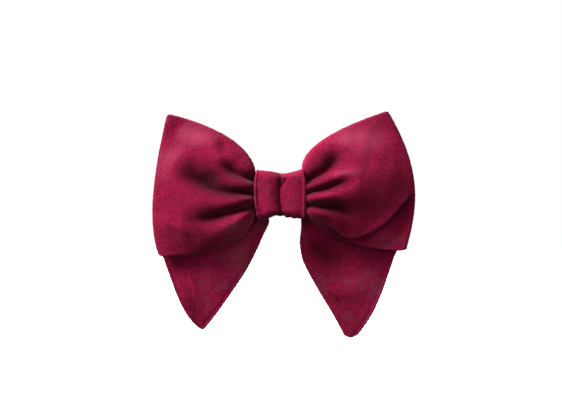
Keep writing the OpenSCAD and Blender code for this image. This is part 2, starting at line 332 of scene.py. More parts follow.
def velvet(name, settings, crush):
    """Cotton velvet, woven with a cut pile that is brushed one way. Upright pile swallows the light that
    falls straight on it and glows where it is seen from the side, so folds look deep and edges look pale.
    crush is how much the pile is pressed in patches. Real tufts are a third of a millimetre apart, too
    fine to show, so the grain is drawn coarser."""
    tree = start_material(name)
    place = add(tree, "ShaderNodeTexCoord").outputs["Object"]
    grain = add(tree, "ShaderNodeTexNoise", [("Vector", place)], Scale=per(settings.grain), Detail=3.0,
                Roughness=0.7)
    patch = add(tree, "ShaderNodeTexNoise", [("Vector", place)], Scale=per(settings.patch), Detail=4.0,
                Roughness=0.6)
    fine = spread(tree, grain, 0.3, 0.7, -settings.speckle, settings.speckle)
    broad = spread(tree, patch, 0.32, 0.68, 0.5 - crush, 0.5 + crush)
    level = add(tree, "ShaderNodeMath", [(0, fine), (1, broad)], operation="ADD")
    shade = two_tones(tree, level, settings.deep, settings.bright)
    attribute = add(tree, "ShaderNodeAttribute", attribute_name="painted_shading_and_tone")
    uneven = spread(tree, patch, 0.32, 0.68, -0.7 * crush, 0.7 * crush)
    painted_shading_and_tone = add(tree, "ShaderNodeMath", [(0, attribute.outputs["Fac"]), (1, uneven)], operation="ADD")
    side_on = add(tree, "ShaderNodeLayerWeight", Blend=0.5).outputs["Facing"]
    # Painted light in the base colour: a painted sheen of the tip colour where the surface is seen side on,
    # painted shade of the root colour in creases and shaded patches, and painted highlights of the tip
    # colour in lit patches
    for source, low, high, most, tint in (
        (side_on, 0.65, 1.0, settings.rim, settings.tip),
        (painted_shading_and_tone, 0.1, 1.0, settings.painted_shade_strength, settings.root),
        (painted_shading_and_tone, 0.0, -1.0, settings.lift, settings.tip),
    ):
        share = spread(tree, source, low, high, 0.0, most)
        shade = add(tree, "ShaderNodeMix", [("Factor", share), ("A", shade)], data_type="RGBA")
        socket(shade, "B").default_value = colour(tint)
    bump = add(tree, "ShaderNodeBump", [("Height", grain)], Strength=0.5, Distance=0.3 * MM)
    shader = add(tree, "ShaderNodeBsdfPrincipled", [("Base Color", shade), ("Normal", bump)], Roughness=0.9,
                 IOR=1.46, Specular_IOR_Level=0.03, Sheen_Weight=settings.sheen, Sheen_Roughness=0.5,
                 Sheen_Tint=colour(settings.glow))
    close_material(tree, shader)


def banded(name, period, low, high, rough, **wave):
    """A material with fine bands between two colours, that far apart in millimetres."""
    tree = start_material(name)
    place = add(tree, "ShaderNodeTexCoord").outputs["Object"]
    bands = add(tree, "ShaderNodeTexWave", [("Vector", place)], Scale=per(period) * WAVE_TURN, **wave)
    tone = two_tones(tree, bands.outputs["Fac"], low, high)
    shader = add(tree, "ShaderNodeBsdfPrincipled", [("Base Color", tone)], Roughness=rough)
    close_material(tree, shader)


def interlining_cloth():
    """Stiffened plain-weave cotton, unbleached: a dull off-white with a fine weave, drawn at twice the real
    half millimetre so that it shows."""
    banded("stiffened_cotton", 1.13, "#d8d0c4", "#f0ebe4", 0.9, Distortion=1.0)


def sewing_thread():
    """Twisted polyester thread, dyed to the velvet: slightly shiny, with its twist as fine slanted
    bands."""
    banded("polyester_thread", 0.66, "#4a0c20", "#7d1c38", 0.45, bands_direction="DIAGONAL")


def nickel(name, tint, rough):
    """Nickel-plated steel, pressed and barrel polished: a warm grey mirror, a little dulled by handling."""
    tree = start_material(name)
    place = add(tree, "ShaderNodeTexCoord").outputs["Object"]
    haze = add(tree, "ShaderNodeTexNoise", [("Vector", place)], Scale=per(2.5), Detail=5.0)
    dull = spread(tree, haze, 0.0, 1.0, rough * 0.6, rough * 1.5)
    scratch = add(tree, "ShaderNodeMapping", [("Vector", place)], Scale=(1, 8, 8))
    line = add(tree, "ShaderNodeTexNoise", [("Vector", scratch)], Scale=per(1.5), Detail=2.0)
    bump = add(tree, "ShaderNodeBump", [("Height", line)], Strength=0.08, Distance=0.02 * MM)
    shader = add(tree, "ShaderNodeBsdfPrincipled", [("Roughness", dull), ("Normal", bump)],
                 Base_Color=colour(tint), Metallic=1.0)
    close_material(tree, shader)


def studio_white():
    """Matt white paper, lit from behind so that no horizon shows."""
    tree = start_material("white_paper")
    paper = add(tree, "ShaderNodeBsdfPrincipled", Base_Color=colour("#f4f4f4"), Roughness=1.0,
                Emission_Color=colour("#ffffff"), Emission_Strength=0.62)
    close_material(tree, paper)


# ---- settings that a user would change ----


def tint_of(name, text, default):
    """A colour, as sRGB hex."""
    return bpy.props.StringProperty(name=name, description=text, default=default)


def share_of(name, text, default):
    """A strength from 0 to 1."""
    return bpy.props.FloatProperty(name=name, description=text, default=default, min=0, max=1,
                                   subtype="FACTOR")


def size_of(name, text, default):
    """A size in millimetres."""
    return bpy.props.FloatProperty(name=name, description=text + ", mm", default=default, min=0)


def number_of(name, text, default):
    """A whole number, 2 at least."""
    return bpy.props.IntProperty(name=name, description=text, default=default, min=2)


class VelvetSettings(bpy.types.PropertyGroup):
    """Colours and pile of the velvet"""

    deep: tint_of("Deep colour", "Pile seen from above", "#5c0721")
    bright: tint_of("Bright colour", "Pile that leans over", "#9e1b43")
    # Colour of the painted highlights and of the painted sheen on edges seen side on
    tip: tint_of("Tip colour", "Tips of pile that stands up", "#bf5070")
    glow: tint_of("Glow colour", "Light caught in the pile", "#ffa0be")
    # Colour of the painted shade in folds and shaded patches
    root: tint_of("Root colour", "Pile pressed in a fold", "#2c030d")
    sheen: share_of("Glow", "Strength of the pile's glow", 0.17)
    # Strength of the painted shade in folds
    painted_shade_strength: share_of("Hollow", "How dark a fold's pile is", 0.92)
    # Strength of the painted highlights in lit patches
    lift: share_of("Lift", "How bright standing pile is", 0.7)
    # Strength of the painted sheen where the surface is seen side on
    rim: share_of("Rim", "How bright the pile is side on", 0.6)
    speckle: share_of("Speckle", "Contrast of the grain", 0.43)
    grain: size_of("Grain", "Size of a tuft of pile as drawn", 0.9)
    patch: size_of("Patch", "Size of a pressed patch", 7.0)


class LoopSettings(bpy.types.PropertyGroup):
    """Shape of the two loops"""

    waist_rise: size_of("Waist", "Depth of the gathers at the knot", 7.0)
    rise: size_of("Fullness", "Depth of a loop in front of its seam", 10.5)
    back_rise: size_of("Back", "Depth of a loop behind its seam", 1.6)
    pleat: size_of("Pleats", "Depth of the gathers at the back", 1.4)
    seam_r: size_of("Seam", "Radius of the turned edge", 0.9)
    velvet_t: size_of("Velvet", "Thickness of the velvet", 0.8)


class KnotSettings(bpy.types.PropertyGroup):
    """Shape of the knot band, and its threads"""

    band_t: size_of("Band", "Thickness of the folded band", 1.4)
    crease: size_of("Crease", "Depth of the crease in front", 0.9)
    thread_d: size_of("Thread", "Diameter of the gathering thread", 0.45)
    winds: number_of("Winds", "Turns of the gathering thread", 6)
    stitches: number_of("Stitches", "Hand stitches that close it", 8)


class ClipSettings(bpy.types.PropertyGroup):
    """Wire of the clip's springs"""

    wire: size_of("Wire", "Diameter of the spring wire", 0.5)
    coil_d: size_of("Coil", "Diameter of the coil's middle line", 2.5)
    turns: number_of("Turns", "Turns of each spring", 5)


class TailSettings(bpy.types.PropertyGroup):
    """Shape of the tails"""

    gather: size_of("Gathers", "Height of the pleats at the knot", 1.0)
    wave: size_of("Wave", "Unevenness of a tail", 0.5)


class StageSettings(bpy.types.PropertyGroup):
    """Camera and light"""

    distance: bpy.props.FloatProperty(
        name="Camera distance", description="Distance of the camera", default=1.0, unit="LENGTH"
    )
    width: bpy.props.FloatProperty(
        name="Picture width", description="Width that the picture takes in at the bow", default=0.2585,
        unit="LENGTH"
    )
    key: bpy.props.FloatProperty(
        name="Key light", description="Strength of the main light", default=6.5, min=0
    )
    fill: share_of("Fill light", "Strength of the light from all round", 0.05)


SETTINGS = {
    "bow_velvet": VelvetSettings,
    "bow_loops": LoopSettings,
    "bow_knot": KnotSettings,
    "bow_tails": TailSettings,
    "bow_clip": ClipSettings,
    "bow_stage": StageSettings,
}


# ---- loops ----

WAIST_X = KNOT_HALF - 0.8
WAIST_Z = 9.2

# Each loop's lower edge, upper edge and end, its folds and its swells
LOOPS = {
    -1: {
        "low": [(-WAIST_X, -WAIST_Z), (-17, -23.5), (-24, -27.2), (-55.4, -28.8)],
        "high": [(-WAIST_X, WAIST_Z), (-11.8, 21.0), (-25.7, 31.0), (-51.7, 37.3)],
        "end": [(-55.4, -28.8), (-61.4, -12), (-58.0, 10), (-51.7, 37.3)],
        "blunt": (2.0, 1.8),
        "folds": [
            Fold([(-8, 5.7), (-12, 6.4), (-15, 7.3), (-18, 8.6), (-21, 10.2), (-24, 12.8), (-27, 17.5)],
                 5.8, (2.2, 3.4), (0.8, 2.6), (0.2, 1.6), 0.55),
            Fold([(-8, 0.1), (-12, 0.1), (-18, 0.4), (-24, 0.9), (-30, 2.6), (-36, 6.0), (-42, 8.2),
                  (-50, 9.8)],
                 6.8, (3.0, 6.4), (0.8, 3.2), (0.2, 2.2), 0.5),
            Fold([(-8, -4.9), (-12, -5.7), (-18, -7.5), (-24, -9.2), (-30, -10.8), (-36, -11.8),
                  (-46, -12.2)],
                 6.0, (2.6, 4.6), (0.8, 2.6), (0.2, 1.8), 0.5),
            Fold([(-56, -10.5), (-46, -15.5), (-36, -21)], -0.8, (2.6, 2.6), (1.8, 1.8), (0.5, 0.5), 0.6),
        ],
        "swells": [
            Swell((-53, 33), (3.2, 8), -18, -1.3),
            Swell((-26, 21.5), (2.6, 3.2), 10, -1.2),
            Swell((-24, -15), (9, 4), 22, 0.8),
        ],
        # Patches of painted shade above 0 and painted highlights below 0
        "painted_light_patches": [
            Swell((-48.5, 31), (6.5, 2.6), 50, 0.75),
            Swell((-26.3, 21.2), (2.8, 3.6), 15, 0.5),
            Swell((-43.5, 11.5), (6.5, 4.5), 15, 0.5),
            Swell((-32, 8.5), (7, 3.5), 30, 0.35),
            Swell((-38, 27), (12, 5), -20, -0.7),
            Swell((-51, 13), (6, 9), 0, -0.35),
            Swell((-46, 20), (8, 4), 30, -0.3),
            Swell((-50, -2), (7, 8), 0, 0.25),
            Swell((-46, -19), (12, 6), 0, 0.45),
            Swell((-21.5, -15), (8, 3.5), 35, -0.7),
        ],
    },
    1: {
        "low": [(WAIST_X, -WAIST_Z), (16.4, -13), (24, -25.6), (58.2, -26)],
        "high": [(WAIST_X, WAIST_Z), (6.9, 19.9), (24.2, 30.2), (49.8, 38.5)],
        "end": [(58.2, -26), (62.6, -9), (67.8, 8.5), (49.8, 38.5)],
        "blunt": (1.6, 1.2),
        "folds": [
            Fold([(8, 5.2), (13, 6.2), (16, 7.7), (19, 9.3), (22, 11.1), (25, 14.4), (28, 17.8),
                  (33, 21.5)],
                 6.2, (2.8, 5.0), (0.8, 3.0), (0.2, 2.2), 0.45),
            Fold([(8, 0.2), (13, 0.5), (16, 1.3), (19, 1.9), (22, 2.8), (25, 4.0), (30, 5.5), (37, 5.4)],
                 5.6, (2.2, 2.8), (0.8, 2.0), (0.2, 1.2), 0.55),
            Fold([(8, -4.9), (13, -5.2), (19, -5.8), (24, -6.2), (28, -7.2), (31, -8.5), (34, -10.3),
                  (38, -13.5)],
                 6.0, (2.4, 4.6), (0.7, 2.4), (0.2, 1.8), 0.48),
        ],
        "swells": [
            Swell((32, 10.5), (7, 3), 8, 0.8),
            Swell((51, 34), (4, 10), -20, -0.9),
            Swell((38, 3), (14, 9), 30, 1.0),
        ],
        # Patches of painted shade above 0 and painted highlights below 0
        "painted_light_patches": [
            Swell((44, -4), (13, 9), 20, 0.5),
            Swell((56, 2), (6, 14), 0, 0.55),
            Swell((30, 25.5), (12, 3.5), 18, -0.5),
            Swell((42, 24), (9, 5), 20, -0.35),
            Swell((28, 9.5), (8, 2.4), 5, -0.75),
            Swell((23, -0.5), (8, 1.8), 8, -0.6),
            Swell((22, 17.5), (3.2, 4.5), -40, 0.4),
            Swell((52, 32), (3, 8), 25, 0.3),
            Swell((25, -13), (8, 3), -20, 0.1),
            Swell((49, -20), (8, 4), 10, -0.45),
        ],
    },
}

DEEP = 6.5  # depth of a fold whose crease gets the darkest painted shade
TAIL_T_HALF = 1.15  # half a tail's thickness
BACK_GRID = 90, 110  # points of a loop's back, along it and up it

# The lower right corner folds back under the front of its loop along this line
TUCK = [
    (20, -13.6), (25, -16), (29.5, -19.4), (34, -20.2), (40.3, -18.1), (47.2, -14), (52.7, -9),
    (58, -3.2), (63.4, 1),
]


def waist_frame(loop, u, v):
    """(x, z) of a loop's points: u runs from the knot to the end, v from the lower edge to the upper
    one."""
    low, high = cubic(loop["low"], u), cubic(loop["high"], u)
    far = cubic(loop["end"], v)
    near = (1 - v)[..., None] * np.array(loop["low"][0]) + v[..., None] * np.array(loop["high"][0])
    u, v = u[..., None], v[..., None]
    corners = (1 - u) * near + u * ((1 - v) * np.array(loop["low"][3]) + v * np.array(loop["high"][3]))
    place = (1 - v) * low + v * high + (1 - u) * near + u * far - corners
    place = blunt_corners(loop, u[..., 0], v[..., 0], place)
    return place + pile_edge(place, edge_room(loop, u[..., 0], v[..., 0]))


def edge_rooms(loop, u, v):
    """How far every point is from the lower seam, the upper one and the end."""
    height = np.linalg.norm(cubic(loop["high"], u) - cubic(loop["low"], u), axis=-1)
    length = np.linalg.norm(cubic(loop["end"], v), axis=-1) - WAIST_X
    return v * height, (1 - v) * height, (1 - u) * length


def edge_room(loop, u, v):
    """How far every point is from the nearest seam."""
    return np.minimum.reduce(edge_rooms(loop, u, v))


def unit(start, end):
    """The direction from one point to another."""
    way = np.subtract(end, start)
    return way / np.linalg.norm(way)


def pile_edge(place, room):
    """The uneven line that pile gives a turned edge: how far each point near it is off."""
    x, z = place[..., 0], place[..., 1]
    off = np.stack([ripple(x, z, 1.5, 51), ripple(x, z, 1.5, 52)], -1)
    return 0.11 * off * (1 - smooth(0.6, 2.6, room))[..., None]


def blunt_corners(loop, u, v, place):
    """Draws a loop's two outer corners in to a round, as cloth turned right side out has them."""
    lower, upper, far = edge_rooms(loop, u, v)
    for radius, near, edge, end in (
        (loop["blunt"][0], lower, loop["low"], loop["end"]),
        (loop["blunt"][1], upper, loop["high"], loop["end"][::-1]),
    ):
        p = np.clip(1 - far / radius, 0, 1)
        q = np.clip(1 - near / radius, 0, 1)
        inward = radius * p * (1 - np.sqrt(1 - q**2 / 2))
        along = radius * q * (1 - np.sqrt(1 - p**2 / 2))
        place = place + inward[..., None] * unit(edge[3], edge[2]) + along[..., None] * unit(end[0], end[1])
    return place


def turned_edge(room, radius):
    """The height of a turned edge's quarter round, at that distance from it."""
    return radius * np.sqrt(1 - (1 - np.clip(room / radius, 0, 1)) ** 2)


def crowd(steps):
    """Steps from 0 to 1 that are closer together near both ends."""
    t = np.linspace(0, 1, steps)
    return 0.45 * t + 0.55 * (1 - np.cos(math.pi * t)) / 2


def loop_front(side, settings, columns, rows):
    """Points of the front of a loop, from the knot to its end, and from its lower edge to its upper one,
    and how much the pile is pressed at each."""
    loop = LOOPS[side]
    u, v = np.meshgrid(np.linspace(0, 1, columns), crowd(rows), indexing="ij")
    place = waist_frame(loop, u, v)
    x, z = place[..., 0], place[..., 1]
    room = edge_room(loop, u, v)
    full = settings.waist_rise * (1 - u) + settings.rise * np.sin(math.pi * u**0.78) ** 1.1
    arch = np.sin(math.pi * v**0.86) ** (0.42 + 0.42 * smooth(0, 0.5, u))
    out = full * arch
    held = smooth(0, 4, room)
    painted_shading_and_tone = np.zeros_like(x)
    for fold in loop["folds"]:
        sunk = fold_depth(fold, x, z, side) * held
        out = out - sunk
        # Painted shade in the fold's crease, darker the deeper the fold
        painted_shading_and_tone = np.maximum(painted_shading_and_tone, np.sqrt(np.maximum(sunk, 0) / DEEP))
    for swell in loop["swells"]:
        out = out + swell_rise(swell, x, z) * smooth(0, 5, room)
    # Painted light and shade patches
    painted_shading_and_tone = np.clip(painted_shading_and_tone + painted_light_patches(loop["painted_light_patches"], x, z), -1, 1)
    out = out + 0.18 * ripple(x, z, 9, 2 + side) * held
    out = turned_edge(room, settings.seam_r) + np.maximum(out, 0.05)
    if side > 0:
        x, z, out, tuck_shadow = tuck_under(x, z, out, room)
        # Painted shadow along the tuck line
        painted_shading_and_tone = np.clip(painted_shading_and_tone + tuck_shadow, -1, 1)
    return np.stack([x, SEAM_Y - out, z], -1), painted_shading_and_tone


def tuck_under(x, z, out, room):
    """Folds the lower right corner back under the loop: the lobe rolls over the line and the corner lies
    behind. Gives the points, and how much the pile is shut in beside the line."""
    line = spline(TUCK)
    away, along = beside(line, x, z, 1)
    strength = smooth(0, 0.22, along) * (1 - smooth(0.88, 1.0, along)) * smooth(0, 2.5, room)
    roll = np.tanh(away / 0.9)
    over = 2.0 * strength * roll * np.exp(-np.abs(away) / 3.0)
    d = np.gradient(line, axis=0)
    d /= np.linalg.norm(d, axis=1, keepdims=True)
    step = np.clip((along * (len(line) - 1)).astype(int), 0, len(line) - 1)
    up = np.stack([-d[step, 1], d[step, 0]], -1)
    below = strength * np.where(away < 0, 1, 0) * smooth(0, 3, -away)
    out = out + strength * (1.9 * roll * np.exp(-np.abs(away) / 4.0)) - 1.8 * below * np.exp(away / 14)
    # Painted shadow along the tuck line
    tuck_shadow = 1.0 * strength * np.where(away < 0, np.exp(away / 1.6), np.exp(-away / 0.5))
    return x - over * up[..., 0], z - over * up[..., 1], np.maximum(out, 0.6), tuck_shadow


def loop_back(side, settings, columns, rows):
    """Points of the back of a loop, which lies nearly flat and is gathered at the knot, and how much its
    pile is pressed."""
    loop = LOOPS[side]
    u, v = np.meshgrid(np.linspace(0, 1, columns), crowd(rows), indexing="ij")
    place = waist_frame(loop, u, v)
    x, z = place[..., 0], place[..., 1]
    room = edge_room(loop, u, v)
    fan = v + 0.05 * np.sin(9 * u + 2 * side)
    pleats = (0.5 + 0.5 * np.cos(math.tau * 5 * fan + side)) ** 3 * (1 - smooth(0.05, 0.6, u))
    out = settings.back_rise * np.sin(math.pi * u) ** 2 * np.sin(math.pi * v ** 1.6) ** 2
    out = out + (0.3 * ripple(x, z, 17, 12 + side) - settings.pleat * pleats) * smooth(0, 4, room)
    out = turned_edge(room, settings.seam_r) + np.maximum(out, -0.8)
    # Painted shade in the pleats, with tone at random
    return np.stack([x, SEAM_Y + out, z], -1), 0.7 * pleats + 0.3 * ripple(x, z, 23, 16 + side)


def across_waist(left, right, steps=6):
    """Joins two loops' points into one panel, from the left end through the knot, where it is drawn
    tight, to the right end."""
    share = np.linspace(0, 1, steps + 2)[1:-1].reshape(-1, *[1] * (left.ndim - 1))
    bridge = left[0][None] * (1 - share) + right[0][None] * share
    if left.ndim == 3:
        drawn = 1 - 0.3 * np.sin(math.pi * share[..., 0])
        bridge[..., 1] = SEAM_Y + (bridge[..., 1] - SEAM_Y) * drawn
        bridge[..., 2] *= drawn
    return np.concatenate([left[::-1], bridge, right])


class BOW_OT_loops(bpy.types.Operator):
    """Makes the front panel, the back panel and the stiffening cloth of the two loops"""

    bl_idname = "bow.loops"
    bl_label = "Make the loops"

    def execute(self, context):
        settings = context.scene.bow_loops
        pile = "cotton_velvet"
        columns, rows = 112, 150
        sides = [loop_front(s, settings, columns, rows) for s in (-1, 1)]
        front, painted_shading_and_tone = [across_waist(left, right) for left, right in zip(*sides)]
        piece = cloth("bow_front", front, settings.velvet_t, pile, painted_shading_and_tone=painted_shading_and_tone)
        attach(piece, "bow")
        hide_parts("bow_front_panel")
        sides = [loop_back(s, settings, *BACK_GRID) for s in (-1, 1)]
        back, painted_shading_and_tone = [across_waist(left, right) for left, right in zip(*sides)]
        piece = cloth("bow_back", back, settings.velvet_t, pile, flip=True, painted_shading_and_tone=painted_shading_and_tone)
        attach(piece, "bow")
        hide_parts("bow_back_panel")
        inner = soften(front[5:-5:3, 9:-9:3], 3)
        inner[..., 1] = SEAM_Y - np.maximum((SEAM_Y - inner[..., 1] - 2.4) * 0.85, 0.0)
        piece = cloth("bow_lining", inner, 0.3, "stiffened_cotton")
        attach(piece, "bow")
        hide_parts("bow_interlining")
        return {"FINISHED"}


# ---- tails ----

# Each tail's outer and inner edges, from the knot to the tip, and its creases
TAILS = {
    -1: {
        "outer": [(-9, 3), (-16, -1), (-30, -12), (-47, -19), (-55.2, -23.6), (-53.2, -30.8),
                  (-49.9, -40.2),
                  (-46.9, -48), (-43.1, -55.4), (-39.6, -59.9), (-36.9, -62.1), (-35.6, -62.5)],
        "inner": [(-9, -5), (-6.6, -8.6), (-5.0, -10.6), (-5.0, -13.6), (-7.8, -19.5), (-11.7, -28.4),
                  (-16.1, -36.4),
                  (-21.9, -45), (-28.1, -53.8), (-33.2, -60.4), (-34.7, -62.2), (-35.6, -62.5)],
        "folds": [
            Fold([(-7, -8), (-11, -13), (-16, -21)], 1.0, (1.5, 3.0), (1.2, 2.5), (0.3, 1.2), 0.3),
            Fold([(-43, -28), (-41, -38), (-37.5, -50)], -0.35, (0.5, 0.5), (0.5, 0.5), (0.15, 0.15), 0.8),
            Fold([(-6, -12), (-14, -17), (-24, -27)], -0.5, (1.2, 3.0), (1.2, 3.0), (0.3, 1.2), 0.3),
        ],
        # Patches of painted shade above 0, such as the shadow under the loop, and painted highlights below
        # 0
        "painted_light_patches": [
            Swell((-19, -27), (7, 6), 40, -0.5),
            Swell((-33, -41), (4, 9), 10, -0.15),
            Swell((-41, -52), (4, 9), 25, 0.35),
            Swell((-46, -32), (7, 3), 0, 0.3),
        ],
    },
    1: {
        "outer": [(9, 3), (16, -1), (30, -11), (46, -17.5), (54.7, -22.2), (52.7, -30), (50.2, -37.4),
                  (47.6, -45),
                  (43.5, -54.4), (39.2, -61.2), (36.2, -65), (32.8, -66.6)],
        "inner": [(9, -5), (9.6, -8.6), (9.9, -11), (9.9, -16), (9.4, -22.4), (10.6, -30.2), (14.6, -38.4),
                  (19.2, -46.4), (24.3, -54.8), (28.3, -62), (30.1, -65.2), (32.8, -66.6)],
        "folds": [
            Fold([(12.5, -8), (13.6, -15), (14.5, -21)], 1.0, (1.2, 2.5), (1.5, 3.0), (0.3, 1.2), 0.3),
            Fold([(10.8, -11), (11.6, -18), (13.5, -26)], -0.5, (0.9, 2.0), (1.0, 2.2), (0.3, 1.0), 0.3),
            Fold([(22, -44), (30, -47), (38, -44)], -0.25, (1.2, 1.2), (0.8, 0.8), (0.3, 0.3), 0.6),
        ],
        # Patches of painted shade above 0, such as the shadow under the loop, and painted highlights below
        # 0
        "painted_light_patches": [
            Swell((20, -27), (11, 6), -20, 0.85),
            Swell((40, -29), (9, 3), -10, 0.3),
            Swell((36, -40), (9, 4), 15, -0.3),
            Swell((30, -48), (8, 4), -10, 0.35),
            Swell((11.5, -20), (1.6, 5), 0, -0.4),
            Swell((43, -50), (3, 9), -25, -0.25),
        ],
    },
}


def tail_middle(side, settings, columns, rows):
    """Points of the middle of a tail's thickness, from the knot to the tip and from the inner edge to the
    outer one, and the distance of each from the edge."""
    tail = TAILS[side]
    line = [spline(tail[edge], 24) for edge in ("inner", "outer")]
    u = np.linspace(0, 1, columns)
    inner, outer = [
        np.stack([np.interp(u, np.linspace(0, 1, len(edge)), edge[:, k]) for k in (0, 1)],
                 1) for edge in line
    ]
    v = crowd(rows)
    place = inner[:, None] * (1 - v)[None, :, None] + outer[:, None] * v[None, :, None]
    x, z = place[..., 0], place[..., 1]
    width = np.linalg.norm(outer - inner, axis=1)[:, None]
    room = np.minimum(v[None] * width, (1 - v)[None] * width)
    below = np.maximum(FOLD_Z - z, 0)
    lean = math.tan(math.radians(5)) * below
    fan = smooth(0, 14, np.hypot(x - side * 9, z + 2))
    gathers = settings.gather * (1 - smooth(4, 30, np.hypot(x - side * 9, z + 2))) * (
        0.5 - 0.5 * np.cos(math.tau * 3 * v)[None]
    )
    y = FOLD_Y - TAIL_T_HALF + lean + gathers * fan
    for fold in tail["folds"]:
        y = y + fold_depth(fold, x, z, side) * smooth(0, 2, room)
    y = y + settings.wave * ripple(x, z, 26, 22 + side) * smooth(4, 24, below)
    return np.stack([x, y, z], -1), room


def tail_panel(side, settings, front, columns, rows):
    """Points of the outer face of a tail's front or back panel."""
    middle, room = tail_middle(side, settings, columns, rows)
    middle[..., ::2] += pile_edge(middle[..., ::2], room)
    x, z = middle[..., 0], middle[..., 2]
    out = turned_edge(room, 0.9) + 0.2 * smooth(1.5, 5, room) - 0.14 * np.exp(-((room - 1.8) / 0.5) ** 2)
    out = out + 0.06 * ripple(x, z, 3.2, 32 + side + 5 * front)
    middle[..., 1] += -out if front else out
    # With the tail's painted light and shade patches
    return middle, np.clip(painted_light_patches(TAILS[side]["painted_light_patches"], x, z), -1, 1)


class BOW_OT_tails(bpy.types.Operator):
    """Makes the two layers and the stiffening cloth of each tail, with its gathered top"""

    bl_idname = "bow.tails"
    bl_label = "Make the tails"

    def execute(self, context):
        settings = context.scene.bow_tails
        pile = "crushed_velvet"
        names = {-1: "left_tail", 1: "right_tail"}
        for side, body in names.items():
            for front in (True, False):
                outer, painted_shading_and_tone = tail_panel(side, settings, front, 150, 90)
                label = "front" if front else "back"
                piece = cloth(f"{body}_{label}_cloth", outer, 0.7, pile, (side > 0) != front,
                              painted_shading_and_tone)
                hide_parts(f"{body}_{label}", *([f"{body}_head"] if front else []))
                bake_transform(piece)
            middle, _ = tail_middle(side, settings, 60, 30)
            hub = middle[20:, 3:-3].mean((0, 1))
            inner = hub + (middle[20:57, 3:-3] - hub) * np.array([0.93, 1, 0.93])
            piece = cloth(f"{body}_lining", inner, 0.2, "stiffened_cotton")
            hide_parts(f"{body}_interlining")
            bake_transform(piece)
        return {"FINISHED"}


# ---- knot ----

KNOT_FOLDS = [
    Fold([(0.9, 11), (0.8, 8.8), (0.1, 3), (0.1, -2), (0.7, -7), (1.0, -11)],
         1.0, (0.5, 0.5), (1.6, 1.2), (0.15, 0.15), 0.98),
    Fold([(2.8, 7.4), (1.5, 4.7), (0.2, 3.0)], 0.7, (0.5, 0.5), (0.6, 0.6), (0.1, 0.1), 0.8),
    Fold([(-10.2, 2), (-9.6, -4), (-8.4, -11)], 0.35, (0.6, 0.6), (0.5, 0.5), (0.15, 0.15), 0.98),
]

# How far the band's upper and lower turns stand out of its rounded oblong, across its width
KNOT_TOP = [(-11.5, 0.6), (-10, 0.4), (-6, 0.0), (-1, -0.6), (0.2, -1.0), (1, -1.4), (4, -1.0), (8, 0.0),
            (11, 1.1)]
KNOT_FOOT = [
    (-11.5, 0.9), (-9.4, 1.2), (-8, 0.8), (-6, 0.2), (-4, -0.5), (-1.7, -1.1), (0.2, -0.7), (2, -1.0),
    (3.2, -0.2),
    (5, -0.4), (6.7, 0.2), (8.2, 0.1), (11, 0.8),
]
# Its half width against its height, on the left and on the right
KNOT_LEFT = [(-12, 9.6), (-9, 10.5), (-5, 11.3), (0, 11.6), (6, 11.5), (9, 11.1), (12, 10.3)]
KNOT_RIGHT = [(-12, 11.4), (-9, 11.7), (-4, 12.0), (5, 12.1), (8, 11.8), (10, 11.2), (12, 10.4)]


def along_curve(points, at):
    """The second value of a smooth line through points where its first one is at."""
    line = spline(points)
    return np.interp(at, line[:, 0], line[:, 1])


BAND_CORNER = 4.0  # radius of the band's turns


def ring_section(steps):
    """The knot's outline in (y, z), a rounded oblong, from its lower back corner down round the front."""
    (near, low), (far, high) = BAND_LOW[1:] + BAND_CORNER, BAND_HIGH[1:] - BAND_CORNER
    line = []
    for y, z, start in ((far, low, 0), (near, low, -90), (near, high, -180), (far, high, -270)):
        turn = np.radians(start - np.linspace(0, 90, 14))
        line.append(np.stack([y + BAND_CORNER * np.cos(turn), z + BAND_CORNER * np.sin(turn)], 1))
    line = np.vstack(line + [line[0][:1]])
    run = np.concatenate([[0], np.cumsum(np.linalg.norm(np.diff(line, axis=0), axis=1))])
    at = np.linspace(0, run[-1], steps, endpoint=False)
    return np.stack([np.interp(at, run, line[:, k]) for k in (0, 1)], 1)


def knot_points(settings, columns, rows):
    """Points of the band's outer face, round the knot and across its width, the way out at each, the
    distance to the nearer side edge, and how much the pile is pressed."""
    section = ring_section(columns)
    step = np.roll(section, -1, 0) - np.roll(section, 1, 0)
    out = np.stack([step[:, 1], -step[:, 0]], 1)
    out /= np.linalg.norm(out, axis=1, keepdims=True)
    out *= np.sign((out * (section - section.mean(0))).sum(1))[:, None]
    across = crowd(rows)
    x = (across * 2 - 1)[None] * KNOT_HALF * np.ones((columns, 1))
    y, z = [section[:, k][:, None] * np.ones((1, rows)) for k in (0, 1)]
    facing = smooth(-0.2, 0.6, -out[:, 0])[:, None]
    upper, lower = smooth(0.2, 0.9, out[:, 1])[:, None], smooth(0.2, 0.9, -out[:, 1])[:, None]
    front = smooth(-0.5, -4, y)
    room = np.minimum(x + KNOT_HALF, KNOT_HALF - x)
    turned = (upper + lower) * smooth(-1, -12, y)
    sunk = sum(fold_depth(fold, x, z, 1) for fold in KNOT_FOLDS) * np.maximum(facing, turned)
    rise = -settings.crease * sunk
    rise = rise + 0.5 * facing * (np.exp(-((np.abs(x - 0.8) - 5.2) / 3.4) ** 2) - 0.5)
    rise = rise + 0.16 * np.exp(-((room - 0.8) / 0.4) ** 2) - 0.12 * np.exp(-((room - 1.7) / 0.5) ** 2)
    rise = rise + along_curve(KNOT_TOP, x) * upper * front
    rise = rise + along_curve(KNOT_FOOT, x) * lower * (0.4 + 0.6 * front)
    rise = rise + 0.06 * ripple(x, z, 3.5, 42) * facing
    half = np.where(x < 0, along_curve(KNOT_LEFT, z), along_curve(KNOT_RIGHT, z))
    grid = np.stack([x * half / KNOT_HALF, y + out[:, 0][:, None] * rise, z + out[:, 1][:, None] * rise],
                    -1)
    # Painted shade in the creases, with a slight painted highlight elsewhere
    return grid, out, room, np.clip(1.2 * sunk - 0.05, -1, 1)


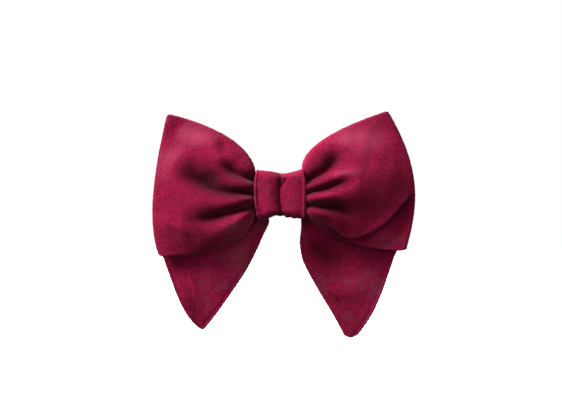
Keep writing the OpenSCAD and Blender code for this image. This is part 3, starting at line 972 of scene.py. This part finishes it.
def knot_cloth(settings):
    """The band as a closed ring with turned edges."""
    columns, rows = 260, 84
    outer, out, room, painted_shading_and_tone = knot_points(settings, columns, rows)
    half = settings.band_t / 2
    away = np.concatenate([np.zeros((columns, 1)), out], 1)[:, None] * np.ones((1, rows, 1))
    inward = half - turned_edge(room, half)
    face = outer - away * inward[..., None]
    back = outer - away * (settings.band_t - inward)[..., None]
    ring = np.concatenate([face, back[:, ::-1][:, 1:-1]], 1)
    painted_ring_shade = np.concatenate([painted_shading_and_tone, painted_shading_and_tone[:, ::-1][:, 1:-1]], 1)
    faces = grid_faces(columns, ring.shape[1], wrap=(True, True))
    return mesh("knot_band_cloth", ring.reshape(-1, 3), faces, "folded_velvet", painted_ring_shade)


def face_out(piece):
    """Turns a closed piece's faces outwards."""
    data = piece.data
    data.calc_loop_triangles()
    volume = 0.0
    for triangle in data.loop_triangles:
        a, b, c = [data.vertices[i].co for i in triangle.vertices]
        volume += a.dot(b.cross(c))
    if volume < 0:
        data.flip_normals()
    return piece


class BOW_OT_knot(bpy.types.Operator):
    """Makes the folded band round the knot"""

    bl_idname = "bow.knot"
    bl_label = "Make the knot"

    def execute(self, context):
        piece = face_out(knot_cloth(context.scene.bow_knot))
        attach(piece, "bow")
        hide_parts("knot_band")
        return {"FINISHED"}


# ---- stitches and springs ----

PROUD = 0.12  # how far a stitch's middle lies out of the cloth


def new_tree(name, **inputs):
    """An empty Geometry Nodes tree with a geometry input and output and the named inputs, and the inputs'
    sockets."""
    tree = bpy.data.node_groups.new(name, "GeometryNodeTree")
    tree.interface.new_socket("Geometry", in_out="INPUT", socket_type="NodeSocketGeometry")
    for label, value in inputs.items():
        kind = "NodeSocketInt" if isinstance(value, int) else "NodeSocketFloat"
        tree.interface.new_socket(label, in_out="INPUT", socket_type=kind).default_value = value
    tree.interface.new_socket("Geometry", in_out="OUTPUT", socket_type="NodeSocketGeometry")
    return tree, add(tree, "NodeGroupInput").outputs


def stitch_tree():
    """Puts one stitch after another along a line of edges: a short, slightly crooked twist of thread."""
    tree, given = new_tree("row_of_stitches", Count=8, Length=0.002, Thread=0.0004, Slant=0.0, Crooked=0.12,
                           Seed=SEED)
    line = add(tree, "GeometryNodeMeshToCurve", [(0, given["Geometry"])])
    spots = add(tree, "GeometryNodeResampleCurve", [("Curve", line), ("Count", given["Count"])])
    way = add(tree, "GeometryNodeInputTangent")
    facing = add(tree, "FunctionNodeAlignRotationToVector", [("Vector", way)], axis="X")
    least = add(tree, "ShaderNodeMath", [(1, given["Crooked"])], operation="SUBTRACT")
    least.inputs[0].default_value = 0.0
    off = add(tree, "FunctionNodeRandomValue",
              [("Min", least), ("Max", given["Crooked"]), ("Seed", given["Seed"])], data_type="FLOAT")
    angle = add(tree, "ShaderNodeMath", [(0, given["Slant"]), (1, off)], operation="ADD")
    about = add(tree, "ShaderNodeCombineXYZ", [("Y", angle)])
    turned = add(tree, "FunctionNodeRotateRotation", [("Rotation", facing), ("Rotate By", about)],
                 rotation_space="LOCAL")
    grain = add(tree, "GeometryNodeMeshIcoSphere", Radius=0.5, Subdivisions=3)
    thread = given["Thread"]
    size = add(tree, "ShaderNodeCombineXYZ", [("X", given["Length"]), ("Y", thread), ("Z", thread)])
    shape = add(tree, "GeometryNodeTransform", [("Geometry", grain), ("Scale", size)])
    row = add(tree, "GeometryNodeInstanceOnPoints",
              [("Points", spots), ("Instance", shape), ("Rotation", turned)])
    real = add(tree, "GeometryNodeRealizeInstances", [("Geometry", row)])
    done = add(tree, "GeometryNodeSetMaterial", [("Geometry", real)],
               Material=bpy.data.materials["polyester_thread"])
    add(tree, "NodeGroupOutput", [(0, done)])
    return tree


def stitched(name, tree, points, **values):
    """A plain mesh of stitches along points in millimetres, with the tree's inputs set by name."""
    data = bpy.data.meshes.new(name + "_line")
    edges = [(i, i + 1) for i in range(len(points) - 1)]
    data.from_pydata((np.array(points, float) * MM).tolist(), edges, [])
    line = link(name + "_line", data)
    rule = line.modifiers.new("stitches", "NODES")
    rule.node_group = tree
    for item in tree.interface.items_tree:
        if item.item_type == "SOCKET" and item.name in values:
            rule[item.identifier] = values[item.name]
    seen = line.evaluated_get(bpy.context.evaluated_depsgraph_get())
    made = link(name, bpy.data.meshes.new_from_object(seen))
    made.data.polygons.foreach_set("use_smooth", np.ones(len(made.data.polygons), bool))
    line.modifiers.clear()
    bpy.data.objects.remove(line)
    if not made.data.polygons:
        raise RuntimeError(f"{name} came out empty")
    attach(made, "bow")
    return made


class BOW_OT_stitches(bpy.types.Operator):
    """Makes the hand stitches that close the knot, and the slip stitches along the back's turning gap"""

    bl_idname = "bow.stitches"
    bl_label = "Make the stitches"

    def execute(self, context):
        settings = context.scene.bow_knot
        tree = stitch_tree()
        turn, out = math.radians(28), BAND_CORNER + PROUD
        y = BAND_HIGH[1] - BAND_CORNER + out * math.cos(turn)
        z = BAND_LOW[2] + BAND_CORNER - out * math.sin(turn)
        across = np.linspace(-KNOT_HALF + 2, KNOT_HALF - 2, 12)
        piece = stitched("knot_stitches", tree, [(x, y, z) for x in across], Count=settings.stitches,
                         Length=0.0021, Thread=0.00042, Slant=math.radians(62), Crooked=0.15)
        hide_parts("knot_closing_stitches")
        gap = loop_back(1, context.scene.bow_loops, *BACK_GRID)[0][36:62, -7]
        stitched("gap_stitches", tree, gap + np.array([0, PROUD, 0]), Count=14, Length=0.0011,
                 Thread=0.00034, Slant=math.radians(20), Crooked=0.2)
        return {"FINISHED"}


def tube(path, radius, sides, up=(0.0, 0.0, 1.0)):
    """Points and faces of a closed round tube along a path that nowhere runs along up."""
    path = np.array(path, float)
    way = np.gradient(path, axis=0)
    way /= np.linalg.norm(way, axis=1, keepdims=True)
    across = np.cross(way, np.tile(up, (len(path), 1)))
    across /= np.linalg.norm(across, axis=1, keepdims=True)
    up = np.cross(across, way)
    turn = np.linspace(0, math.tau, sides, endpoint=False)
    ring = np.cos(turn)[None, :, None] * across[:, None] + np.sin(turn)[None, :, None] * up[:, None]
    points = (path[:, None] + radius * ring).reshape(-1, 3)
    last = (len(path) - 1) * sides
    ends = [range(sides)[::-1], range(last, last + sides)]
    return points, [*grid_faces(len(path), sides, flip=True, wrap=(False, True)), *ends]


def spring_path(side, settings):
    """A torsion spring's wire: a leg on the plate, the coil round the pin, and a leg under the lever; and
    half the coil's length."""
    low, high = node_box("right_spring")
    x, y = joint_at("right_jaw_hinge")[:2]
    wire, coil_r = settings.wire, settings.coil_d / 2
    half = (high[2] - low[2] - wire) / 2
    turn = np.radians(-90 + np.linspace(0, 360 * (settings.turns - 0.5), 24 * settings.turns))
    height = np.linspace(-half, half, len(turn))
    coil = np.stack([x + coil_r * np.cos(turn), y + coil_r * np.sin(turn), height], 1)
    tip_x, floor_y = low[0] + wire / 2, low[1] + wire / 2
    leg_low = [(tip_x, floor_y, -half), (x - 2.2, floor_y + 0.28, -half)]
    leg_high = [(x - 2.4, y + 1.92, half), (tip_x + 0.2, high[1] - wire / 2, half)]
    path = np.vstack([spline(leg_low, 4), coil, spline(leg_high, 4)])
    return path * [side, 1, 1], half


class BOW_OT_springs(bpy.types.Operator):
    """Makes the two torsion springs, whose coils twist as the jaws open"""

    bl_idname = "bow.springs"
    bl_label = "Make the springs"

    def execute(self, context):
        settings = context.scene.bow_clip
        for side, word in ((-1, "left"), (1, "right")):
            path, half = spring_path(side, settings)
            points, faces = tube(path, settings.wire / 2, 12)
            piece = face_out(mesh(f"{word}_torsion_spring", points, faces, "spring_wire"))
            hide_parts(f"{word}_spring")
            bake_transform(piece)
        return {"FINISHED"}


class BOW_OT_thread(bpy.types.Operator):
    """Winds the thread that holds the gathers and the tails' tops, under the knot"""

    bl_idname = "bow.thread"
    bl_label = "Wind the gathering thread"

    def execute(self, context):
        settings = context.scene.bow_knot
        steps = 48 * settings.winds
        turn = np.linspace(0, math.tau * settings.winds, steps)
        across = np.linspace(-0.5, 0.5, steps) * settings.winds * settings.thread_d
        front, behind, half_z = -13.0, node_box("gather_thread")[1][1] - settings.thread_d / 2, 6.7
        deep, tall = [np.sign(wave) * np.abs(wave) ** 0.6 for wave in (np.cos(turn), np.sin(turn))]
        path = np.stack([across, (front + behind) / 2 + (behind - front) / 2 * deep, half_z * tall], 1)
        points, faces = tube(path, settings.thread_d / 2, 10, (1.0, 0.0, 0.0))
        piece = face_out(mesh("gathering_thread", points, faces, "polyester_thread"))
        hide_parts("gather_thread")
        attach(piece, "bow")
        return {"FINISHED"}


class BOW_OT_clip(bpy.types.Operator):
    """Finishes the collar clip and the threads with their materials"""

    bl_idname = "bow.clip"
    bl_label = "Finish the clip"

    def execute(self, context):
        steel = ["clip_plate", "left_jaw", "right_jaw", "left_hinge_pin", "right_hinge_pin"]
        finishes = {"nickelled_steel": steel, "polyester_thread": ["plate_tack_thread"]}
        for name, nodes in finishes.items():
            for node in nodes:
                slots = frame["nodes"][node].material_slots
                if not slots:
                    raise RuntimeError(f"{node} has no material slot")
                for one in slots:
                    one.material = bpy.data.materials[name]
        return {"FINISHED"}


# ---- stage ----


class BOW_OT_materials(bpy.types.Operator):
    """Makes the materials that the pieces share"""

    bl_idname = "bow.materials"
    bl_label = "Make the materials"

    def execute(self, context):
        pile = context.scene.bow_velvet
        velvet("cotton_velvet", pile, 0.15)
        velvet("folded_velvet", pile, 0.3)
        velvet("crushed_velvet", pile, 0.42)
        interlining_cloth()
        sewing_thread()
        nickel("nickelled_steel", "#c2bdb4", 0.3)
        nickel("spring_wire", "#8e9094", 0.36)
        return {"FINISHED"}


def aim(thing, place, target):
    """Puts a light or camera at a place and points it at a target."""
    thing.location = place
    thing.rotation_euler = (Vector(target) - Vector(place)).to_track_quat("-Z", "Y").to_euler()


class BOW_OT_stage(bpy.types.Operator):
    """Makes the floor, the lights and the camera"""

    bl_idname = "bow.stage"
    bl_label = "Make the stage"

    def execute(self, context):
        settings = context.scene.bow_stage
        floor_z, reach = -0.16, 6.0
        data = bpy.data.meshes.new("floor")
        corners = [(-reach, -reach), (reach, -reach), (reach, reach), (-reach, reach)]
        data.from_pydata([(x, y, floor_z) for x, y in corners], [], [(0, 1, 2, 3)])
        studio_white()
        data.materials.append(bpy.data.materials["white_paper"])
        floor = link("floor", data)
        floor.visible_diffuse = floor.visible_glossy = False

        world = bpy.data.worlds.new("studio")
        world.use_nodes = True
        tree = world.node_tree
        tree.nodes.clear()
        ray = add(tree, "ShaderNodeLightPath")
        way = add(tree, "ShaderNodeTexCoord")
        slope = add(tree, "ShaderNodeVectorMath", [(0, way.outputs["Generated"])], operation="DOT_PRODUCT")
        slope.inputs[1].default_value = (-0.4, -0.1, 0.91)
        tent = spread(tree, slope, -0.8, 1.0, settings.fill * 0.25, settings.fill * 2.0)
        card = spread(tree, slope, -0.5, 0.8, 0.22, 0.95, interpolation_type="SMOOTHSTEP")
        glossy, direct = ray.outputs["Is Glossy Ray"], ray.outputs["Is Camera Ray"]
        lit = add(tree, "ShaderNodeMix", [("Factor", glossy), ("A", tent), ("B", card)])
        seen = add(tree, "ShaderNodeMix", [("Factor", direct), ("A", lit)], B=1.0)
        sky = add(tree, "ShaderNodeBackground", [("Strength", seen)], Color=colour("#ffffff"))
        add(tree, "ShaderNodeOutputWorld", [("Surface", sky)])
        context.scene.world = world

        for name, place, strength, width in (
            ("key", (-1.3, -0.7, 1.4), settings.key, 30),
            ("front_fill", (0.2, -1.0, 0.1), settings.key * 0.17, 70),
            ("rim_light", (0.9, 0.45, -0.5), settings.key * 0.3, 40),
            ("back_light", (-1.2, 0.7, 1.0), settings.key * 0.45, 50),
        ):
            lamp = bpy.data.lights.new(name, "SUN")
            lamp.energy = strength
            lamp.angle = math.radians(width)
            source = link(name, lamp)
            source.visible_glossy = name == "key"
            aim(source, place, (0, 0, 0))

        camera = link("camera", bpy.data.cameras.new("camera"))
        focus = (0.0007, SEAM_Y * MM, -0.003)
        aim(camera, (focus[0], -settings.distance, focus[2]), focus)
        camera.data.lens = camera.data.sensor_width * (settings.distance + focus[1]) / settings.width
        camera.data.clip_end = 20
        context.scene.camera = camera
        context.scene.view_settings.view_transform = "Standard"
        return {"FINISHED"}


OPERATORS = (
    BOW_OT_stage, BOW_OT_materials, BOW_OT_loops, BOW_OT_tails, BOW_OT_knot, BOW_OT_thread, BOW_OT_stitches,
    BOW_OT_springs, BOW_OT_clip,
)


class BOW_PT_panel(bpy.types.Panel):
    """Lists the steps that make the bow, with their settings"""

    bl_label = "Bow Tie"
    bl_idname = "BOW_PT_panel"
    bl_space_type = "VIEW_3D"
    bl_region_type = "UI"
    bl_category = "Bow Tie"

    def draw(self, context):
        for name, group in SETTINGS.items():
            box = self.layout.box()
            box.label(text=group.__doc__)
            for key in group.__annotations__:
                box.prop(getattr(context.scene, name), key)
        for operator in OPERATORS:
            self.layout.operator(operator.bl_idname)


CLASSES = (*SETTINGS.values(), *OPERATORS, BOW_PT_panel)


def register():
    for one in CLASSES:
        bpy.utils.register_class(one)
    for name, group in SETTINGS.items():
        setattr(bpy.types.Scene, name, bpy.props.PointerProperty(type=group))


def unregister():
    for name in SETTINGS:
        delattr(bpy.types.Scene, name)
    for one in reversed(CLASSES):
        bpy.utils.unregister_class(one)


def main():
    register()
    for operator in OPERATORS:
        group, step = operator.bl_idname.split(".")
        getattr(getattr(bpy.ops, group), step)()


if __name__ == "__main__":
    main()
